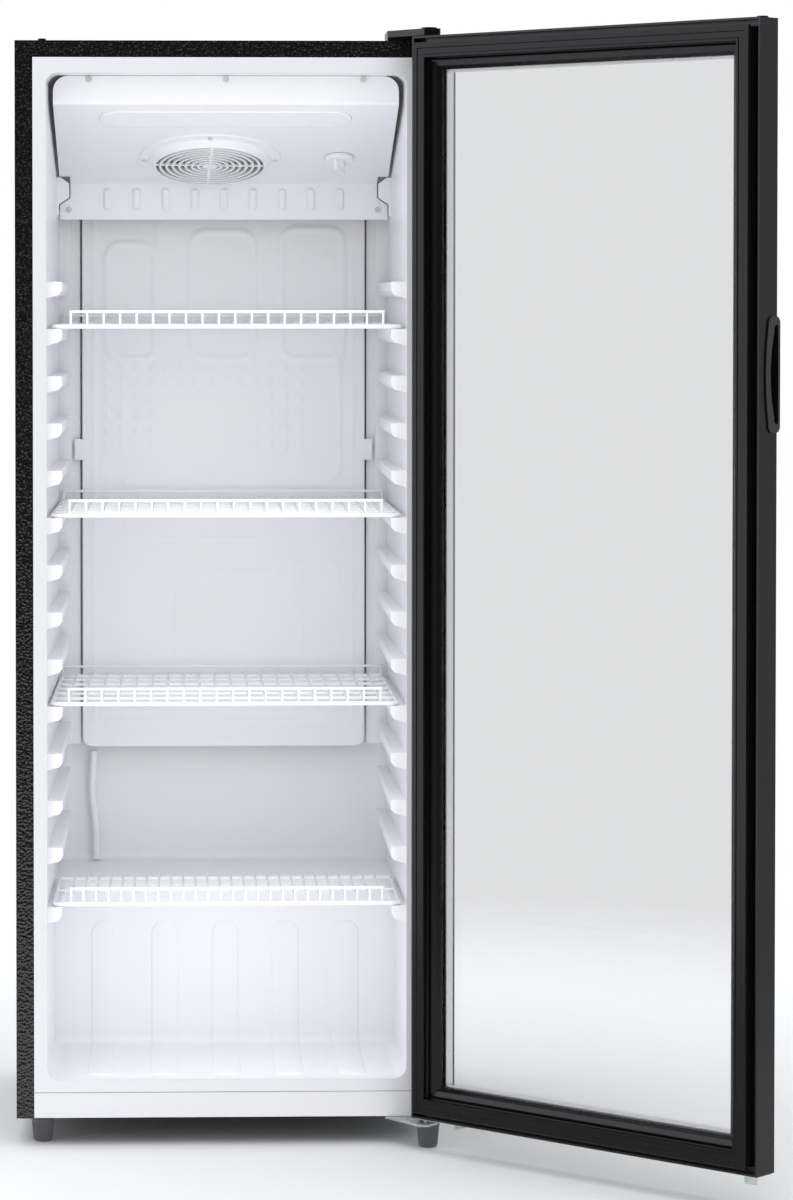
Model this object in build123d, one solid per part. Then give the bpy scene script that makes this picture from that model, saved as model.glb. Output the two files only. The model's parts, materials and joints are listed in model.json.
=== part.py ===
from build123d import *

import math
import os

# Upright single-door glass merchandiser: a 600 mm wide refrigerated display cabinet.
#
# Frame: millimetres, +Z up, the cabinet faces -Y and its front flange lies in the plane Y = 0.
# The origin is on the floor, under the middle of the cabinet's front edge line X = 0, Y = 0.
# The door is modelled closed and then swung to the angle that it rests at.

# ---------------------------------------------------------------- driving dimensions
BODY_W = 600.0  # outside width of the steel wrapper
BODY_D = 555.0  # front flange to rear panel
BODY_BOTTOM = 40.0  # underside of the base pan above the floor
BODY_TOP = 1573.0  # top of the steel wrapper above the floor
SKIN = 0.8  # steel sheet
SIDE_FLANGE = 25.0  # width of the black front flange at the sides
TOP_FLANGE = 23.5  # and along the top
MITRE_GAP = 0.9  # width of the seam where the two flanges meet

MOUTH_HALF = 256.0  # half width of the cavity at its mouth
BACK_HALF = 251.0  # and at the back wall, after the mould's draft
FLOOR_Z = 94.0
CEILING_Z = 1527.5
BACK_Y = 495.0
HUMP_Y = 286.0  # front face of the step over the compressor
HUMP_Z = 342.0  # top of that step
LINER_T = 2.0
LINER_BOTTOM = 77.0  # lower edge of the liner's front flange
FOAM_GAP = 0.2

SHELF_LEVELS = {"shelf_1": 1164.8, "shelf_2": 895.6, "shelf_3": 626.4}
LOW_SHELF_Z = 339.6
SHELF_SHIFTS = {"shelf_1": 0.8, "shelf_2": -1.2, "shelf_3": -2.6}  # how far each lies off the middle
LEDGE_PITCH = 67.3  # spacing of the moulded shelf ledges
LEDGES_BELOW, LEDGES_ABOVE = 3, 9  # ledge levels below and above the third shelf
LEDGE_DEPTH = 17.0  # how far a ledge stands out of the side wall
LEDGE_H = 24.0

DOOR_HALF = 297.0
DOOR_BOTTOM, DOOR_TOP = 47.0, 1576.5
DOOR_INNER_Y, DOOR_FRONT_Y = -12.0, -55.0
FRAME_W = 48.0  # width of the door's frame members
PIVOT_X, PIVOT_Y = 285.0, -35.0
OPEN_DEG = 136.8  # the angle that the door rests at

FOOT_H = 33.5
FLUTES = 28
FEET = {
    "foot_front_left": (-264.0, 43.0),
    "foot_front_right": (286.0, -15.0),
    "foot_rear_left": (-264.0, 512.0),
    "foot_rear_right": (264.0, 512.0),
}

HOOD_HALF = 248.0
HOOD_TOP = 1527.0
HOOD_T = 2.5
HOOD_FRONT_Y, HOOD_FRONT_Z = 70.0, 1486.5  # lower edge of the fascia
HOOD_BACK_Y, HOOD_BACK_Z = 400.0, 1382.0  # top edge of the skirt
SKIRT_BOTTOM_Z = 1328.0
FAN_X, FAN_Y = -22.0, 290.0
GRILLE_Z = -13.0  # how far the fan grille's dish stands below the hood
DIAL_X, DIAL_Y = 170.5, 284.0
LAMP_Y = 127.0

PLATE_Y = 462.0
PLATE_HALF = 216.5
PLATE_BOTTOM, PLATE_TOP = 520.0, 1364.0

ROOM_Y = 331.2  # front of the compressor compartment
ROOM_Z = 300.0  # its ceiling
COND_Y = 569.0  # centre plane of the condenser

os.makedirs("parts", exist_ok=True)


# ---------------------------------------------------------------- helpers
def block(x0, x1, y0, y1, z0, z1):
    """A box from its lowest to its highest corner."""
    return Pos((x0 + x1) / 2, (y0 + y1) / 2, (z0 + z1) / 2) * Box(
        abs(x1 - x0), abs(y1 - y0), abs(z1 - z0)
    )


def rod(start, end, radius):
    """A round bar from one point to another."""
    a, b = Vector(*start), Vector(*end)
    plane = Plane(origin=(a + b) * 0.5, z_dir=(b - a).normalized())
    return plane * Cylinder(radius, (b - a).length)


def prism(points, plane, depth):
    """A polygon drawn on a plane and extruded along the plane's normal."""
    return extrude(plane * make_face(Polyline(*points, close=True).edges()), depth)


def rounded_prism(points, radius, plane, depth, corners=None):
    """As prism, with the outline's corners rounded: all of them, or those listed by index."""
    face = make_face(Polyline(*points, close=True).edges())
    chosen = [
        v
        for v in face.vertices()
        if corners is None
        or any((Vector(v) - Vector(*points[i])).length < 1e-6 for i in corners)
    ]
    return extrude(plane * fillet(chosen, radius), depth)


def together(shapes):
    """All the shapes fused into one."""
    shapes = list(shapes)
    return shapes[0].fuse(*shapes[1:]) if len(shapes) > 1 else shapes[0]


def tube(points, radii, radius):
    """A round tube along straight runs joined by tangent arcs."""
    line = FilletPolyline(*points, radius=radii) if len(points) > 2 else Polyline(*points)
    start = Plane(origin=points[0], z_dir=(Vector(*points[1]) - Vector(*points[0])).normalized())
    return sweep(start * Circle(radius), path=line)


def save(name, *solids):
    """Writes a node; a node of several loose solids is a compound of them."""
    found = [s for shape in solids for s in shape.solids()]
    whole = found[0] if len(found) == 1 else Compound(children=found)
    export_step(whole, f"parts/{name}.step")


def swung(shape):
    """A door piece turned from the closed door to the angle that the door rests at."""
    return shape.rotate(Axis((PIVOT_X, PIVOT_Y, 0), (0, 0, 1)), OPEN_DEG)


def save_door(name, *solids):
    save(name, *[swung(s) for s in solids])


def front_plane(y):
    """A plane seen from the front: its x is the row's X, its y is Z, and it faces +Y."""
    return Plane(origin=(0, y, 0), x_dir=(-1, 0, 0), z_dir=(0, 1, 0))


def side_plane(x):
    """A plane whose x is the row's Y and whose y is Z, facing +X."""
    return Plane(origin=(x, 0, 0), x_dir=(0, 1, 0), z_dir=(1, 0, 0))


# ---------------------------------------------------------------- cabinet shell
def cabinet_wrapper():
    half = BODY_W / 2
    walls = [
        block(side * half, side * (half - SKIN), 0, BODY_D, BODY_BOTTOM, BODY_TOP)
        for side in (-1, 1)
    ]
    walls.append(block(-half, half, 0, BODY_D, BODY_TOP - SKIN, BODY_TOP))
    for side in (-1, 1):
        walls.append(
            block(side * half, side * (half - SIDE_FLANGE), 0, SKIN, BODY_BOTTOM, BODY_TOP)
        )
    walls.append(block(-half, half, 0, SKIN, BODY_TOP - TOP_FLANGE, BODY_TOP))
    shell = together(walls)
    for side in (-1, 1):
        outer, inner = side * (half - 1.5), side * (half - SIDE_FLANGE - 2)
        high, low = BODY_TOP - 1.5, BODY_TOP - TOP_FLANGE - 2
        seam = [(outer, high), (inner, low), (inner - side * MITRE_GAP, low), (outer - side * MITRE_GAP, high)]
        face = front_plane(-1) * make_face(Polyline(*[(-x, z) for x, z in seam], close=True).edges())
        shell -= extrude(face, 1 + SKIN / 2)
    return shell


def rear_panel():
    return block(-299, 299, BODY_D - SKIN, BODY_D, ROOM_Z + 1, BODY_TOP - SKIN - 0.1)


def bulkhead():
    wall = block(-299, 299, ROOM_Y, ROOM_Y + SKIN, BODY_BOTTOM + 1.4, ROOM_Z)
    roof = block(-299, 299, ROOM_Y, BODY_D - SKIN - 0.1, ROOM_Z, ROOM_Z + SKIN)
    return wall + roof


def base_pan():
    pan = block(-299, 299, 3, BODY_D - 1, BODY_BOTTOM, BODY_BOTTOM + 1.2)
    front = block(-299, 299, 3, 4.2, BODY_BOTTOM, BODY_BOTTOM + 28)
    return pan + front


def kick_panel():
    return block(-274.8, 274.8, 0.2, 2.6, BODY_BOTTOM + 0.5, LINER_BOTTOM - 1.0)


# ---------------------------------------------------------------- liner and insulation
def cavity(grow):
    """The space inside the liner, grown outwards by a distance; it is open at the front."""
    side = [
        (-1, FLOOR_Z - grow),
        (HUMP_Y + grow, FLOOR_Z - grow),
        (HUMP_Y + grow, HUMP_Z - grow),
        (BACK_Y + grow, HUMP_Z - grow),
        (BACK_Y + grow, CEILING_Z + grow),
        (-1, CEILING_Z + grow),
    ]
    profile = rounded_prism(side, 14 + grow, side_plane(-280), 560, corners=(1, 3, 4))
    plan = [
        (-MOUTH_HALF - grow, -1),
        (MOUTH_HALF + grow, -1),
        (BACK_HALF + grow, BACK_Y + grow),
        (-BACK_HALF - grow, BACK_Y + grow),
    ]
    plan = rounded_prism(plan, 22 + grow, Plane.XY, 1700, corners=(2, 3))
    front = front_plane(-2) * RectangleRounded(
        2 * (MOUTH_HALF + grow), CEILING_Z - FLOOR_Z + 2 * grow, 17 + grow
    )
    front = Pos(0, 0, (CEILING_Z + FLOOR_Z) / 2) * extrude(front, 600)
    return profile & plan & front


# The lug beside the hood's skirt and the notch that clears it: half width, Z.
BOSS = [(255, 1391), (246.5, 1391), (234, 1382), (234, 1361.1), (249.6, 1350.5), (249.6, 1334), (255, 1330)]
NOTCH = [(232.4, 1440), (232.4, 1360.6), (248.5, 1349.6), (262, 1349.6), (262, 1440)]
BOSS_Y = 370.0


def mirrored(outline, side, y, depth):
    """An outline of half widths and heights, drawn on one side and extruded backwards."""
    face = make_face(Polyline(*[(-side * x, z) for x, z in outline], close=True).edges())
    return extrude(front_plane(y) * face, depth)


def wall_half(y):
    """Half width between the liner's side walls at a depth."""
    return MOUTH_HALF + (BACK_HALF - MOUTH_HALF) * y / BACK_Y


def ledge(side, z_top, y0, y1):
    """One moulded shelf ledge: flat on top and sloped back to the wall underneath."""
    reach = wall_half(y1) - LEDGE_DEPTH
    outline = [
        (side * (MOUTH_HALF + 1), z_top),
        (side * (reach + 1.5), z_top),
        (side * reach, z_top - 1.5),
        (side * reach, z_top - 13),
        (side * (reach + 4.5), z_top - 19),
        (side * (MOUTH_HALF + 1), z_top - LEDGE_H),
    ]
    face = Plane.XZ.offset(-y0) * make_face(Polyline(*outline, close=True).edges())
    return extrude(face, y0 - y1)


def ledge_levels():
    base = SHELF_LEVELS["shelf_3"]
    return [base + k * LEDGE_PITCH - 0.3 for k in range(-LEDGES_BELOW, LEDGES_ABOVE + 1)]


def liner():
    shell = cavity(LINER_T)
    flange_w, flange_h = 274.8, BODY_TOP - TOP_FLANGE - 0.2
    shell += block(-flange_w, flange_w, 0, LINER_T, LINER_BOTTOM, flange_h)
    shell &= block(-290, 290, 0, 560, 60, BODY_TOP)
    ledges = []
    for side in (-1, 1):
        for z in ledge_levels():
            ledges.append(ledge(side, z, 16, 446))
        ledges.append(ledge(side, LOW_SHELF_Z - 0.3, 16, 270))
        ledges.append(mirrored(BOSS, side, BOSS_Y, 396 - BOSS_Y))
        for x, y in ((219.6, 470), (233.0, 462)):
            ledges.append(block(side * x, side * 256, y, BACK_Y + 1, PLATE_BOTTOM + 4, 1345))
    inner = cavity(0)
    ledges = [lug & cavity(LINER_T / 2) for lug in ledges]
    return (shell - inner).fuse(*ledges)


def foam():
    fill = block(-299.1, 299.1, 2.8, BODY_D - SKIN - 0.1, BODY_BOTTOM + 1.4, BODY_TOP - SKIN - 0.1)
    fill -= cavity(LINER_T + FOAM_GAP)
    fill -= block(-300, 300, ROOM_Y - 0.1, BODY_D, 30, ROOM_Z + SKIN + 0.1)
    fill -= block(-300, 300, 2, 4.5, BODY_BOTTOM, BODY_BOTTOM + 29)
    return fill


# ---------------------------------------------------------------- shelves
def shelf(z, depth, wires, supports, lip_h=24.3, tail=1.0, back_rail=True, shift=0.0):
    """A welded wire shelf: its mat, its front lip and its raised back rail with two posts."""
    frame_r, mat_r, lip_r = 3.0, 1.6, 2.0
    y0, y1 = 23.0, 23.0 + depth
    front_half = 246.8
    back_half = 249.0 - (MOUTH_HALF - BACK_HALF) * depth / BACK_Y
    zc = z + frame_r
    corners = [(-front_half, y0, zc), (front_half, y0, zc), (back_half, y1, zc), (-back_half, y1, zc)]
    ring = FilletPolyline(*corners, radius=9, close=True)
    mat = [sweep(Plane(origin=ring @ 0, z_dir=ring % 0) * Circle(frame_r), path=ring)]
    top = zc + frame_r + mat_r - 0.8
    for i in range(supports):
        y = y0 + (y1 - y0) * (i + 1) / (supports + 1)
        half = front_half + (back_half - front_half) * (y - y0) / depth
        mat.append(rod((-half, y, zc + 1), (half, y, zc + 1), 2.2))
    lip_half = 222.6
    xs = [-lip_half + 2 * lip_half * i / (wires - 1) for i in range(wires)]
    mat += [rod((x, y0 - 1, top), (x, y1 + tail, top), mat_r) for x in xs]
    posts = [rod((x, y0, top + mat_r + 0.05), (x, y0, z + lip_h), 1.75) for x in xs]
    lip = posts + [rod((xs[0] - 1.75, y0, z + lip_h), (xs[-1] + 1.75, y0, z + lip_h), lip_r)]
    solids = [together(mat), together(lip)]
    if back_rail:
        rail_z, half = z + 18.0, back_half - 0.5
        y = y1 - 1
        solids.append(block(-half - 2, half + 2, y - 2, y + 2, rail_z - 2, rail_z + 2))
        solids[-1] = fillet(solids[-1].edges(), 1.9)
        y -= 14
        ends = [(s * (half - 0.2), s * half) for s in (-1, 1)]
        solids += [rod((a, y, zc + frame_r + 0.05), (b, y + 14, rail_z - 2.1), 1.9) for a, b in ends]
    return [Pos(shift, 0, 0) * solid for solid in solids]


# ---------------------------------------------------------------- evaporator
def evaporator_plate():
    h = PLATE_TOP - PLATE_BOTTOM
    face = RectangleRounded(2 * PLATE_HALF, h, 15)
    plate = extrude(front_plane(PLATE_Y) * face, 1.6)
    plate = Pos(0, 0, (PLATE_TOP + PLATE_BOTTOM) / 2) * plate
    for i, x in enumerate((-140.0, 5.0, 120.0)):
        low, high = 830.0, 1290.0 - 20 * (i == 0)
        ring = RectangleRounded(96, high - low, 24) - RectangleRounded(84, high - low - 12, 18)
        rib = extrude(front_plane(PLATE_Y - 1.8) * ring, 1.8)
        plate += Pos(x, 0, (high + low) / 2) * rib
    return plate


def evaporator_clips():
    """Stand-off posts behind the plate and the two clips that hold its edges."""
    posts = [block(s * 211, s * 228, PLATE_Y - 2.4, PLATE_Y - 0.1, 961, 993) for s in (-1, 1)]
    for x in (-190.0, 190.0):
        for z in (600.0, 1010.0):
            posts.append(rod((x, PLATE_Y + 1.6, z), (x, BACK_Y, z), 6))
    return posts


def suction_tube():
    points = [(-196, 479, 345), (-196, 479, 392), (-203, 478, 450), (-199, 479, 512)]
    return tube(points, [180, 200], 5.5)


# ---------------------------------------------------------------- hood, fan, lamp, thermostat
HOOD_SLOPE = math.atan2(HOOD_FRONT_Z - HOOD_BACK_Z, HOOD_BACK_Y - HOOD_FRONT_Y)


def hood_point(x, y):
    """The point of the hood's sloped underside at X, Y."""
    return (x, y, HOOD_FRONT_Z - (y - HOOD_FRONT_Y) * math.tan(HOOD_SLOPE))


def hood_plane(x, y, lift=0.0):
    """A plane on the hood's underside: +z points up into the plenum, +y down the slope."""
    normal = Vector(0, math.sin(HOOD_SLOPE), math.cos(HOOD_SLOPE))
    origin = Vector(*hood_point(x, y)) + normal * lift
    return Plane(origin=origin, x_dir=(1, 0, 0), z_dir=normal)


def on_hood(x, y, shape, lift=0.0):
    return hood_plane(x, y, lift) * shape


def air_hood():
    t = HOOD_T
    lift = t / math.cos(HOOD_SLOPE)  # upright thickness of the sloped panel
    outline = [
        (HOOD_FRONT_Y, HOOD_TOP),
        (HOOD_FRONT_Y, HOOD_FRONT_Z),
        (HOOD_BACK_Y, HOOD_BACK_Z),
        (HOOD_BACK_Y, SKIRT_BOTTOM_Z),
        (HOOD_BACK_Y + t, SKIRT_BOTTOM_Z),
        (HOOD_BACK_Y + t, hood_point(0, HOOD_BACK_Y + t)[2] + lift),
        (HOOD_FRONT_Y + t, hood_point(0, HOOD_FRONT_Y + t)[2] + lift),
        (HOOD_FRONT_Y + t, HOOD_TOP - t),
        (HOOD_FRONT_Y + 14, HOOD_TOP - t),
        (HOOD_FRONT_Y + 14, HOOD_TOP),
    ]
    hood = rounded_prism(outline, 5, side_plane(-HOOD_HALF), 2 * HOOD_HALF, corners=(1, 2))
    tall = front_plane(0) * RectangleRounded(2 * HOOD_HALF, 400, 22)
    hood &= Pos(0, 0, HOOD_TOP - 200) * extrude(tall, 600)
    hood -= on_hood(FAN_X, FAN_Y, Cylinder(88, 30))
    hood -= on_hood(0, LAMP_Y, extrude(SlotOverall(366, 64), 20, both=True))
    hood -= on_hood(DIAL_X, DIAL_Y, Cylinder(4.2, 30))
    for side in (-1, 1):
        hood -= mirrored(NOTCH, side, BOSS_Y - 2, 50)
    ribs = []
    for i in range(9):
        x = -176 + 352 * i / 8
        rib = block(x - 6.5, x + 6.5, HOOD_BACK_Y - 4.0, HOOD_BACK_Y + 0.5, 1342, 1375)
        rib = fillet(rib.edges().filter_by(Axis.Y), 4.5)
        ribs.append(chamfer(rib.faces().sort_by(Axis.Y)[0].edges(), 3.0))
    return hood.fuse(*ribs)


def screw_head(origin, direction, radius=4.5, height=2.4):
    """A pan head standing on a face, without the shank that the face hides."""
    plane = Plane(origin=origin, z_dir=direction)
    head = plane * (Pos(0, 0, height / 2) * Cylinder(radius, height))
    slot = plane * (Pos(0, 0, height) * Box(radius * 1.3, 0.9, 1.2))
    return head - slot


def hood_screws():
    screws = [screw_head((x, HOOD_FRONT_Y, HOOD_TOP - 5), (0, -1, 0)) for x in (-197.0, 0.0, 197.0)]
    screws += [screw_head((x, HOOD_BACK_Y, 1343.0), (0, -1, 0)) for x in (-235.0, 233.5)]
    down = Vector(0, -math.sin(HOOD_SLOPE), -math.cos(HOOD_SLOPE))
    for angle in (0, 90, 180, 270):
        x = 97 * math.cos(math.radians(angle))
        s = 97 * math.sin(math.radians(angle))
        spot = hood_plane(FAN_X, FAN_Y, -3.55).from_local_coords(Vector(x, s, 0))
        screws.append(screw_head(spot, down, 3.6, 1.8))
    return screws


def fan_grille():
    profile = [(86, 0), (106, 0), (105, -2.4), (92, -3.6), (83, GRILLE_Z), (80.4, GRILLE_Z)]
    profile += [(80.4, GRILLE_Z + 4), (84, -1.5)]
    flange = revolve(Plane.XZ * make_face(Polyline(*profile, close=True).edges()), Axis.Z)
    rings = []
    for i in range(7):
        r = 75.5 - i * 9.4
        ring = Cylinder(r, 4) - Cylinder(r - 3.4, 4)
        rings.append(Pos(0, 0, GRILLE_Z + 2) * ring)
    cap = Pos(0, 0, GRILLE_Z + 2) * Cylinder(11.5, 4)
    arm = Pos(41, 0, GRILLE_Z + 2.4) * Box(80, 4, 2.8)
    arms = [Rot(0, 0, a) * arm for a in (2, 92, 182, 272)]
    return on_hood(FAN_X, FAN_Y, flange.fuse(*rings, cap, *arms))


def fan_blades():
    hub = Pos(0, 0, 17) * Cylinder(21, 16)
    blades = []
    for i in range(5):
        blade = Pos(46, 0, 17) * Rot(28, 0, 0) * Box(58, 34, 1.6)
        blades.append(Rot(0, 0, 72 * i) * blade)
    fan = hub.fuse(*blades)
    fan -= Pos(0, 0, 20) * Cylinder(2.56, 16)
    return on_hood(FAN_X, FAN_Y, fan)


def fan_motor():
    body = Pos(0, 0, 49) * Cylinder(27, 38)
    boss = Pos(0, 0, 28.5) * Cylinder(9, 4)
    shaft = Pos(0, 0, 22.5) * Cylinder(2.5, 19)
    return on_hood(FAN_X, FAN_Y, body + boss + shaft)


def fan_bracket():
    ring = Pos(0, 0, 20.5) * (Cylinder(93, 36) - Cylinder(90, 36))
    clamp = Pos(0, 0, 41.5) * (Cylinder(31, 20) - Cylinder(27.2, 20))
    arms = [Rot(0, 0, a) * (Pos(61, 0, 36.5) * Box(62, 8, 4)) for a in (30, 150, 270)]
    return on_hood(FAN_X, FAN_Y, ring.fuse(clamp, *arms))


def thermostat_body():
    body = Pos(0, 0, HOOD_T + 14) * Box(44, 36, 27)
    hole = Pos(0, 0, HOOD_T + 4) * Cylinder(3.3, 12)
    return on_hood(DIAL_X, DIAL_Y, body - hole)


def thermostat_knob():
    dial = Pos(0, 0, -4.2) * Cylinder(21.5, 6.4)
    dial = chamfer(dial.edges().group_by(Axis.Z)[0], 2.0)
    grip = Pos(0, 0, -14) * Box(30, 7, 17)
    grip = fillet(grip.edges().filter_by(Axis.Z), 3)
    grip = Rot(0, 0, 62) * grip
    hub = Pos(0, 0, -12) * Cylinder(8, 13)
    shaft = Pos(0, 0, 3) * Cylinder(3, 9)
    return on_hood(DIAL_X, DIAL_Y, dial.fuse(grip, hub, shaft))


def lamp_lens():
    plate = extrude(SlotOverall(365, 63), 2.6)
    plate = Pos(0, 0, -1.2) * fillet(plate.faces().sort_by(Axis.Z)[0].edges(), 2.0)
    rim = extrude(SlotOverall(374, 72) - SlotOverall(352, 50), 1.5)
    lens = Pos(0, 0, -0.8) * plate + Pos(0, 0, HOOD_T + 0.1) * rim
    bridge = extrude(SlotOverall(365, 63) - SlotOverall(352, 50), HOOD_T + 0.4)
    return on_hood(0, LAMP_Y, lens + bridge)


def lamp_board():
    board = Pos(0, 0, 7) * Box(330, 22, 1.6)
    posts = [Pos(x, 0, 16) * Box(8, 12, 17) for x in (-140, 140)]
    leds = [Pos(-150 + 25 * i, 0, 5.4) * Box(5, 5, 1.8) for i in range(13)]
    return on_hood(0, LAMP_Y, board.fuse(*posts, *leds))


# ---------------------------------------------------------------- compressor compartment
COMP_X, COMP_Y = -40.0, 445.0


def compressor():
    can = Pos(0, 0, 132) * Cylinder(68, 110)
    can = fillet(can.edges(), 30)
    band = Pos(0, 0, 132) * Cylinder(70, 6)
    feet = Pos(0, 0, 66) * Box(190, 92, 4)
    neck = Pos(0, 0, 72) * Cylinder(48, 14)
    ports = [rod((60, 20, 110), (96, 20, 110), 4), rod((60, -20, 120), (88, -20, 120), 5)]
    body = can.fuse(band, feet, neck, *ports)
    for x in (-84, 84):
        for y in (-36, 36):
            body -= Pos(x, y, 66) * Cylinder(5.2, 10)
    return Pos(COMP_X, COMP_Y, 0) * body


def compressor_spots():
    return [(COMP_X + x, COMP_Y + y) for x in (-84, 84) for y in (-36, 36)]


def compressor_grommets():
    low = BODY_BOTTOM + 1.2
    made = []
    for x, y in compressor_spots():
        pad = Pos(x, y, (low + 64) / 2) * Cylinder(11, 64 - low)
        sleeve = Pos(x, y, 66) * Cylinder(5.1, 4)
        made.append(pad + sleeve - Pos(x, y, 55) * Cylinder(3.2, 40))
    return made


def compressor_bolts():
    low = BODY_BOTTOM + 1.2
    made = []
    for x, y in compressor_spots():
        shank = Pos(x, y, (low + 70) / 2) * Cylinder(3.1, 70 - low)
        head = Pos(x, y, 70.3) * extrude(RegularPolygon(7, 6), 4.5)
        washer = Pos(x, y, 69.2) * Cylinder(8, 2.2)
        made.append(shank.fuse(head, washer))
    return made


def relay_cover():
    box = Pos(COMP_X - 88.5, COMP_Y, 132) * Box(36, 62, 74)
    box = fillet(box.edges().filter_by(Axis.X), 6)
    return box - Pos(COMP_X, COMP_Y, 132) * Cylinder(71, 120)


def drip_tray():
    outer = block(COMP_X - 90, COMP_X + 90, COMP_Y - 60, COMP_Y + 60, 215, 246)
    inner = block(COMP_X - 88, COMP_X + 88, COMP_Y - 58, COMP_Y + 58, 217, 250)
    hanger = block(COMP_X - 10, COMP_X + 10, COMP_Y - 62, COMP_Y - 60, 215, ROOM_Z - 0.2)
    return outer - inner + hanger


def discharge_tube():
    points = [
        (COMP_X + 96, COMP_Y + 20, 110),
        (COMP_X + 160, COMP_Y + 20, 110),
        (COMP_X + 200, COMP_Y + 20, 160),
        (220, COMP_Y + 30, 196),
        (220, COND_Y, 268),
        (220, COND_Y, 420),
    ]
    return tube(points, [24, 18, 20, 22], 2.5)


def filter_drier():
    can = Pos(205, 400, 170) * Cylinder(9, 84)
    can = fillet(can.edges(), 6)
    stubs = [rod((205, 400, 120), (205, 400, 132), 2.5), rod((205, 400, 208), (205, 400, 222), 1.6)]
    clip = block(196, 214, ROOM_Y + SKIN + 0.1, 400, 165, 175) - Pos(205, 400, 170) * Cylinder(9.1, 20)
    return [can.fuse(*stubs), clip]


def condenser_coil():
    rows, half, low, pitch = 13, 220.0, 460.0, 68.0
    points = [(half, COND_Y, 420.2)]
    for i in range(rows):
        side = 1 if i % 2 == 0 else -1
        points += [(x, COND_Y, low + i * pitch) for x in (side * half, -side * half)]
    return tube(points, [20] + [33.9] * (2 * rows - 2), 2.5)


def condenser_wires():
    made = []
    for i in range(20):
        x = -190 + 20 * i
        for side in (-1, 1):
            y = COND_Y + side * 3.42
            made.append(rod((x, y, 448), (x, y, 1290), 0.9))
    return made


def condenser_brackets():
    made = []
    for x in (-205.0, 205.0):
        for z in (528.0, 1208.0):
            foot = block(x - 9, x + 9, BODY_D, BODY_D + 1.5, z - 14, z + 14)
            arm = block(x - 9, x + 9, BODY_D + 1.5, COND_Y - 2.55, z - 2, z + 2)
            made.append(foot + arm)
    return made


def rear_cover():
    plate = block(-298.8, 298.8, BODY_D - SKIN, BODY_D, BODY_BOTTOM + 2, ROOM_Z - 1)
    slots = []
    for row in range(5):
        for col in range(9):
            x, z = -220 + 55 * col, 95 + 32 * row
            slots.append(block(x - 19, x + 19, BODY_D - 2, BODY_D + 1, z - 2.5, z + 2.5))
    slots.append(block(212, 228, BODY_D - 2, BODY_D + 1, 244, 276))
    slots.append(rod((-262, BODY_D - 2, 70), (-262, BODY_D + 1, 70), 8.1))
    return plate.cut(*slots)


def cord_gland():
    flange = rod((-262, BODY_D, 70), (-262, BODY_D + 2.4, 70), 11)
    barrel = rod((-262, BODY_D - 6, 70), (-262, BODY_D + 9, 70), 8)
    return flange + barrel - rod((-262, BODY_D - 8, 70), (-262, BODY_D + 10, 70), 3.8)


def rear_screws():
    spots = [(x, z) for x in (-285.0, 285.0) for z in (60.0, 285.0, 320.0, 940.0, 1555.0)]
    spots += [(0.0, 285.0), (0.0, 320.0), (0.0, 1555.0), (0.0, 60.0)]
    return [screw_head((x, BODY_D, z), (0, 1, 0)) for x, z in spots]


# ---------------------------------------------------------------- hinges and feet
BRACKET_TOP = BODY_BOTTOM
BRACKET_T = 3.0
ARM_Z = DOOR_TOP + 2.0  # underside of the top hinge's arm


def bottom_bracket():
    outline = [(226, 62), (297, 62), (297, -46), (287, -57), (268, -57), (228, -2), (226, -2)]
    plate = extrude(
        Plane.XY.offset(BRACKET_TOP - BRACKET_T) * make_face(Polyline(*outline, close=True).edges()),
        BRACKET_T,
    )
    roll = rod((269, -57.5, BRACKET_TOP - BRACKET_T / 2), (286, -57.5, BRACKET_TOP - BRACKET_T / 2), 2.4)
    plate += roll
    return plate - rod((PIVOT_X, PIVOT_Y, 30), (PIVOT_X, PIVOT_Y, 50), 4.0)


def hinge_pin_bottom():
    pin = rod((PIVOT_X, PIVOT_Y, BRACKET_TOP - BRACKET_T), (PIVOT_X, PIVOT_Y, 64), 3.98)
    collar = rod((PIVOT_X, PIVOT_Y, BRACKET_TOP), (PIVOT_X, PIVOT_Y, 43.5), 7)
    return pin + collar


def top_bracket():
    base = block(232, 296, 6, 72, BODY_TOP, BODY_TOP + 3)
    riser = block(262, 296, 2, 6, BODY_TOP, ARM_Z + 3)
    link = block(262, 296, 4, 9, BODY_TOP, BODY_TOP + 3)
    arm = block(272, 296, -46, 6, ARM_Z, ARM_Z + 3)
    arm = arm.fuse(riser, link, base)
    return arm - rod((PIVOT_X, PIVOT_Y, 1570), (PIVOT_X, PIVOT_Y, 1590), 4.0)


def hinge_pin_top():
    pin = rod((PIVOT_X, PIVOT_Y, DOOR_TOP - 16), (PIVOT_X, PIVOT_Y, ARM_Z + 3), 3.98)
    head = rod((PIVOT_X, PIVOT_Y, ARM_Z + 3), (PIVOT_X, PIVOT_Y, ARM_Z + 5), 6.5)
    return pin + head


def top_hinge_cover():
    def shell(inset, z0, z1):
        points = [
            (228 + inset, 84 - inset),
            (300 - inset, 84 - inset),
            (300 - inset, -57 + inset),
            (277 + inset * 0.7, -57 + inset),
            (228 + inset, 2 + inset * 0.4),
        ]
        return rounded_prism(points, 5 if inset == 0 else 3, Plane.XY.offset(z0), z1 - z0)

    outer = shell(0, BODY_TOP + 0.1, 1587)
    boss = rod((PIVOT_X, PIVOT_Y, 1586.5), (PIVOT_X, PIVOT_Y, 1589.5), 11)
    hollow = shell(2.2, BODY_TOP - 5, 1584.6)
    over_door = block(200, 310, -70, -0.4, BODY_TOP - 5, DOOR_TOP + 1.2)
    cover = outer + boss - hollow - over_door
    return cover + block(228.8, 299, -0.3, 1.8, BODY_TOP + 0.1, DOOR_TOP + 1.7)


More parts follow.
